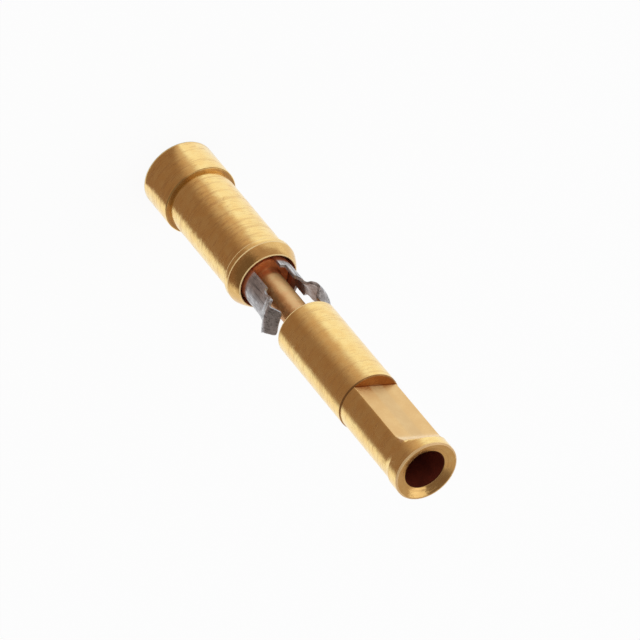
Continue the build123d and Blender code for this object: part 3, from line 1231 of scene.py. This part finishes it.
@dataclass
class RetentionClip:
    """The folded clip: an open sleeve and two tines with waists, ears, knees and tabs."""

    bottom: float = from_node(Part.CLIP, 0)
    sheet: float = 0.12
    inner_radius: float = 0.97
    sleeve_length: float = 2.60
    opening_angle: float = 57.6
    opening_direction: float = -59.2
    tine_directions: Pair = (4.0, 221.0)
    band_length: float = 0.70
    band_taper: float = 0.06
    waist_length: float = 0.23
    blade_rise: float = 0.43
    ear_rise: float = 0.19
    ear_length: float = 0.15
    ear_drop: float = 0.06
    tab_height: float = 0.39
    band_half: float = 0.59
    waist_half: float = 0.485
    blade_half: float = 0.60
    ear_half: float = 0.735
    knee_half: float = 0.58
    tab_half: float = 0.52
    tab_round: float = 0.15
    tab_end_half: float = 0.30
    ear_round: float = 0.12
    waist_round: float = 0.10
    flare_reach: float = 0.38
    flare_start: float = 0.26
    flare_bend: float = 0.62
    knee_round: float = 0.10
    blade_set_back: float = 1.30
    edge_round: float = 0.012
    edge_steps: int = 2
    edge_angle: float = 50.0
    row_step: float = 0.02
    sleeve_rows: int = 26
    sleeve_angle: float = 3.0
    column_count: int = 24
    weld: float = 0.0005

    def __post_init__(self) -> None:
        """Work out the heights of the tine's parts, its side line and its outline."""
        self.sleeve_top = self.bottom + self.sleeve_length
        self.band_top = self.sleeve_top + self.band_length
        waist_bottom = self.band_top + self.band_taper
        self.waist_top = waist_bottom + self.waist_length
        blade = self.waist_top + self.blade_rise
        ear_bottom = blade + self.ear_rise
        ear_top = ear_bottom + self.ear_length
        knee = ear_top + self.ear_drop
        tab_top = knee + self.tab_height
        side_line = [
            Corner(self.inner_radius, self.sleeve_top),
            Corner(self.inner_radius, self.waist_top + self.flare_start, self.flare_bend),
            Corner(self.inner_radius + self.flare_reach, knee, self.knee_round),
            Corner(self.inner_radius, tab_top),
        ]
        outline = [
            Corner(self.band_half, self.sleeve_top),
            Corner(self.band_half, self.band_top),
            Corner(self.waist_half, waist_bottom),
            Corner(self.waist_half, self.waist_top, self.waist_round),
            Corner(self.blade_half, blade),
            Corner(self.ear_half, ear_bottom, self.ear_round),
            Corner(self.ear_half, ear_top, self.ear_round),
            Corner(self.knee_half, knee),
            Corner(self.tab_half, tab_top, self.tab_round),
            Corner(self.tab_end_half, tab_top),
        ]
        self.side_line = rounded(side_line, self.row_step)
        self.outline = rounded(outline, self.row_step)

    def half_width(self, height: float) -> float:
        """Half of the tine's width at a height."""
        for (low_half, low), (high_half, high) in zip(self.outline, self.outline[1:]):
            if height <= high:
                break
        share = min(max((height - low) / max(high - low, ALMOST_ZERO), 0.0), 1.0)
        return low_half + (high_half - low_half) * share

    def set_back(self, height: float) -> float:
        """How far behind the contact's axis the sheet's curve has its centre at a height."""
        start = self.band_top
        end = self.waist_top + self.flare_start / 2
        share = min(max((height - start) / (end - start), 0.0), 1.0)
        return self.blade_set_back * share * share * (3 - 2 * share)

    def laterals(self, half: float) -> list[float]:
        """Places of the columns across a tine of this half width."""
        return [half * (2 * column / self.column_count - 1) for column in range(self.column_count + 1)]

    def tine(self, shape: bmesh.types.BMesh, direction: float) -> None:
        """Add one tine's inner sheet.

        Args:
            shape: The clip's mesh.
            direction: The way the tine faces, in degrees.
        """
        turn = Matrix.Rotation(math.radians(direction), 3, "Z")
        rows = []
        for radius, height in self.side_line:
            back = self.set_back(height)
            row = []
            for lateral in self.laterals(self.half_width(height)):
                outward = math.sqrt((radius + back) ** 2 - lateral ** 2) - back
                row.append(shape.verts.new(turn @ Vector((outward, lateral, height)) * MM))
            rows.append(row)
        self.skin(shape, rows)

    @staticmethod
    def skin(shape: bmesh.types.BMesh, rows: list[list[bmesh.types.BMVert]]) -> None:
        """Fill the faces between rows of vertices."""
        for low, high in zip(rows, rows[1:]):
            for left in range(len(low) - 1):
                shape.faces.new((low[left], low[left + 1], high[left + 1], high[left]))

    def sleeve_turns(self) -> list[float]:
        """Directions of the sleeve's columns, which match the tines' own columns."""
        half_opening = self.opening_angle / 2
        sines = [lateral / self.inner_radius for lateral in self.laterals(self.band_half)]
        spread = [math.degrees(math.asin(sine)) for sine in sines]
        near, far = [[direction + turn for turn in spread] for direction in self.tine_directions]
        first = min(self.opening_direction + half_opening, near[0])
        last = self.opening_direction + FULL_TURN - half_opening
        turns = {first, last, *near, *far}
        for start, end in ((first, near[0]), (near[-1], far[0]), (far[-1], last)):
            count = max(round((end - start) / self.sleeve_angle), 1)
            turns.update(start + (end - start) * step / count for step in range(1, count))
        return sorted(turns)

    def sleeve(self, shape: bmesh.types.BMesh) -> None:
        """Add the sleeve's inner sheet."""
        rows = []
        for step in range(self.sleeve_rows + 1):
            height = self.bottom + self.sleeve_length * step / self.sleeve_rows
            row = []
            for turn in map(math.radians, self.sleeve_turns()):
                spot = Vector((math.cos(turn), math.sin(turn), 0.0)) * self.inner_radius
                spot.z = height
                row.append(shape.verts.new(spot * MM))
            rows.append(row)
        self.skin(shape, rows)

    def build(self, steel: Material) -> None:
        """Fold, thicken and dress the clip."""
        shape = bmesh.new()
        self.sleeve(shape)
        for direction in self.tine_directions:
            self.tine(shape, direction)
        bmesh.ops.remove_doubles(shape, verts=shape.verts, dist=self.weld * MM)
        bmesh.ops.recalc_face_normals(shape, faces=shape.faces)
        mesh = bpy.data.meshes.new("folded_clip")
        shape.to_mesh(mesh)
        shape.free()
        clip = link("folded_clip", mesh)
        wall = clip.modifiers.new("sheet", "SOLIDIFY")
        wall.thickness = self.sheet * MM
        wall.offset = 1.0
        wall.use_even_offset = True
        edges = clip.modifiers.new("edges", "BEVEL")
        edges.width = self.edge_round * MM
        edges.segments = self.edge_steps
        edges.limit_method = "ANGLE"
        edges.angle_limit = math.radians(self.edge_angle)
        apply_modifiers(clip)
        clip.data.materials.append(steel)
        finish_mesh(clip, SHEET_CREASE)
        enrol(clip, Slot.SPRING_STEEL, Part.CLIP)


@dataclass
class Studio:
    """A pale floor, soft light, a dark card for the metal to reflect, and the camera."""

    floor_half: float = 400.0
    floor_colour: Colour = (0.90, 0.90, 0.90)
    floor_glow: float = 0.92
    white: Colour = (1.0, 1.0, 1.0)
    world_strength: float = 0.76
    lamp_size: float = 0.22
    lamp_energy: float = 0.08
    lamp_place: tuple[float, float, float] = (-0.205, -0.085, 0.29)
    aim: tuple[float, float, float] = (-0.3914, -0.4229, 10.8323)
    camera_distance: float = 206.394
    heading: float = 137.216
    down_angle: float = 42.216
    roll: float = 140.062
    lens: float = 303.3124
    sensor: float = 36.0
    clip_range: Pair = (0.001, 10.0)
    dark_tone: Colour = (0.275, 0.172, 0.124)
    half_tone: Colour = (0.60, 0.46, 0.38)
    white_tone: Colour = (0.98, 0.98, 0.98)
    half_start: Pair = (-110.0, -74.0)
    dark_start: Pair = (-80.0, -20.0)
    dark_end: Pair = (40.0, 66.0)
    white_side: Pair = (0.52, -1.30)
    bright_side: Pair = (1.39, 0.17)
    card_height: float = 0.02
    card_near: float = 1.6
    card_far: float = 390.0
    card_margin: float = 10.0
    card_steps: int = 48
    sky_half: Colour = (0.45, 0.34, 0.28)
    sky_dark: Colour = (0.17, 0.12, 0.09)
    overhead: Colour = (0.17, 0.11, 0.085)
    overhead_start: Pair = (0.80, 0.97)
    sky_dark_start: Pair = (-75.0, -45.0)
    sky_dark_end: Pair = (45.0, 75.0)

    @staticmethod
    def heading_angle(sheet: NodeSheet, vector: Socket) -> Socket:
        """Direction of a place or a ray round the contact, in degrees from +X."""
        spot = sheet.split(vector)
        return sheet.times(sheet.math("ARCTAN2", spot[1], spot[0]), math.degrees(1.0))

    def seen_from(self, sheet: NodeSheet, place: Socket, corner: Pair) -> Socket:
        """Direction of a place on the floor from a point of the contact's side."""
        start = (corner[0] * MM, corner[1] * MM, 0.0)
        return self.heading_angle(sheet, sheet.vector("SUBTRACT", place, start))

    def world(self) -> None:
        """Make the white surroundings, with a warm half-tone ceiling that only gloss shows."""
        world = bpy.data.worlds.new("white_room")
        world.use_nodes = True
        world.node_tree.nodes.clear()
        sheet = NodeSheet(world.node_tree)
        ray = sheet.add("ShaderNodeTexCoord").outputs["Generated"]
        angle = self.heading_angle(sheet, ray)
        start = sheet.fade(angle, *self.sky_dark_start)
        dark = sheet.times(start, sheet.fade(angle, *self.sky_dark_end, 1.0, 0.0))
        ceiling = sheet.tint(dark, self.sky_half, self.sky_dark)
        steep = sheet.fade(sheet.split(ray)[2], *self.overhead_start)
        ceiling = sheet.tint(steep, ceiling, self.overhead)
        path = sheet.add("ShaderNodeLightPath").outputs
        plain = tuple(self.world_strength * tone for tone in self.white)
        colour = sheet.tint(path["Is Glossy Ray"], plain, ceiling)
        colour = sheet.tint(path["Is Camera Ray"], colour, self.white)
        glow = sheet.get("ShaderNodeBackground", {"Color": colour, "Strength": 1.0})
        sheet.show(glow, "ShaderNodeOutputWorld")
        bpy.context.scene.world = world

    def floor_material(self) -> Material:
        """Pale floor that shows white to the camera and in reflections, and keeps shadows."""
        material, sheet = blank_material("pale_floor")
        matt = sheet.get("ShaderNodeBsdfDiffuse", {"Color": opaque(self.floor_colour)})
        white = sheet.get("ShaderNodeEmission", {"Color": opaque(self.white), "Strength": 1.0})
        path = sheet.add("ShaderNodeLightPath").outputs
        seen = sheet.math("MAXIMUM", path["Is Camera Ray"], path["Is Glossy Ray"])
        seen = sheet.math("MAXIMUM", seen, path["Is Transmission Ray"])
        share = sheet.times(seen, self.floor_glow)
        sheet.show(sheet.get("ShaderNodeMixShader", {0: share, 1: matt, 2: white}))
        return material

    def card_material(self) -> Material:
        """Warm dark card beside a half-tone one, both with soft edges."""
        material, sheet = blank_material("dark_card")
        place = sheet.add("ShaderNodeTexCoord").outputs["Object"]
        left = self.seen_from(sheet, place, self.white_side)
        right = self.seen_from(sheet, place, self.bright_side)
        tone = sheet.tint(sheet.fade(left, *self.half_start), self.white_tone, self.half_tone)
        tone = sheet.tint(sheet.fade(left, *self.dark_start), tone, self.dark_tone)
        tone = sheet.tint(sheet.fade(right, *self.dark_end), tone, self.white_tone)
        sheet.show(sheet.get("ShaderNodeEmission", {"Color": tone, "Strength": 1.0}))
        return material

    def stand_in(self, name: str, corners: list[tuple[float, float, float]],
                 material: Material) -> Piece:
        """Make one flat piece of the set.

        Args:
            name: The piece's name.
            corners: Its outline in millimetres.
            material: Its material.

        Returns:
            The object, marked as stage.
        """
        mesh = bpy.data.meshes.new(name)
        mesh.from_pydata([Vector(corner) * MM for corner in corners], [], [list(range(len(corners)))])
        mesh.materials.append(material)
        piece = link(name, mesh)
        piece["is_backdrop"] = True
        return piece

    def floor(self) -> None:
        """Lay the floor."""
        half = self.floor_half
        corners = [(-half, -half, 0.0), (half, -half, 0.0), (half, half, 0.0), (-half, half, 0.0)]
        self.stand_in("floor", corners, self.floor_material())

    def card(self) -> None:
        """Lay the dark card beside the contact; only the metal's reflections show it."""
        first = self.half_start[0] - self.card_margin
        width = self.dark_end[1] + self.card_margin - first
        turns = [math.radians(first + width * step / self.card_steps) for step in range(self.card_steps + 1)]
        ring = [
            (reach * math.cos(turn), reach * math.sin(turn), self.card_height)
            for reach, arc in ((self.card_near, turns), (self.card_far, reversed(turns)))
            for turn in arc
        ]
        card = self.stand_in("dark_card", ring, self.card_material())
        card.visible_camera = False
        card.visible_diffuse = False
        card.visible_shadow = False

    def lamp(self) -> None:
        """Hang one large soft lamp."""
        data = bpy.data.lights.new("soft_lamp", "AREA")
        data.size = self.lamp_size
        data.energy = self.lamp_energy
        lamp = link("soft_lamp", data)
        lamp.location = self.lamp_place
        lamp.rotation_euler = Vector(self.lamp_place).to_track_quat("Z", "Y").to_euler()

    def camera(self) -> None:
        """Set the camera at the photograph's viewing angle."""
        heading, down, roll = map(math.radians, (self.heading, self.down_angle, self.roll))
        level = Vector((math.cos(heading), math.sin(heading), 0.0)) * math.cos(down)
        forward = level - Vector((0.0, 0.0, math.sin(down)))
        level_right = Vector((math.sin(heading), -math.cos(heading), 0.0))
        right = level_right * math.cos(roll) + level_right.cross(forward) * math.sin(roll)
        turn = Matrix((right, right.cross(forward), -forward)).transposed().to_4x4()
        data = bpy.data.cameras.new("photo_view")
        data.lens = self.lens
        data.sensor_width = self.sensor
        data.sensor_fit = "HORIZONTAL"
        data.clip_start, data.clip_end = self.clip_range
        camera = link("photo_view", data)
        spot = (Vector(self.aim) - forward * self.camera_distance) * MM
        camera.matrix_world = Matrix.Translation(spot) @ turn
        bpy.context.scene.camera = camera

    def build(self) -> None:
        """Set up everything round the contact."""
        self.world()
        self.floor()
        self.card()
        self.lamp()
        self.camera()
        bpy.context.scene.view_settings.view_transform = "Standard"


def write_sizes() -> None:
    """Work out the CAD box and the visual model's box as plain lists."""
    boxes = {"cad": CAD_BOX, "visual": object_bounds()}
    plain = {name: [list(corner) for corner in box] for name, box in boxes.items()}


def main() -> None:
    """Build the contact's pieces in order, and the studio round them."""
    logging.basicConfig(level=logging.INFO, format="%(name)s: %(message)s")
    effects = SurfaceEffects()
    body = ContactBody()
    hood = HoodSleeve()
    body_gold = TurnedGold(effects, "body_gold_plate", body.zones()).build()
    hood_gold = TurnedGold(effects, "hood_gold_plate", hood.zones(), worn_share=0.62, jitter=0.19).build()
    steel = BrushedSteel(effects).build()
    lathe = LatheTree()
    body.build(lathe, body_gold)
    SpringFingers().build(body_gold)
    hood.build(lathe, hood_gold)
    RetentionClip().build(steel)
    Studio().build()
    write_sizes()


if __name__ == "__main__":
    main()
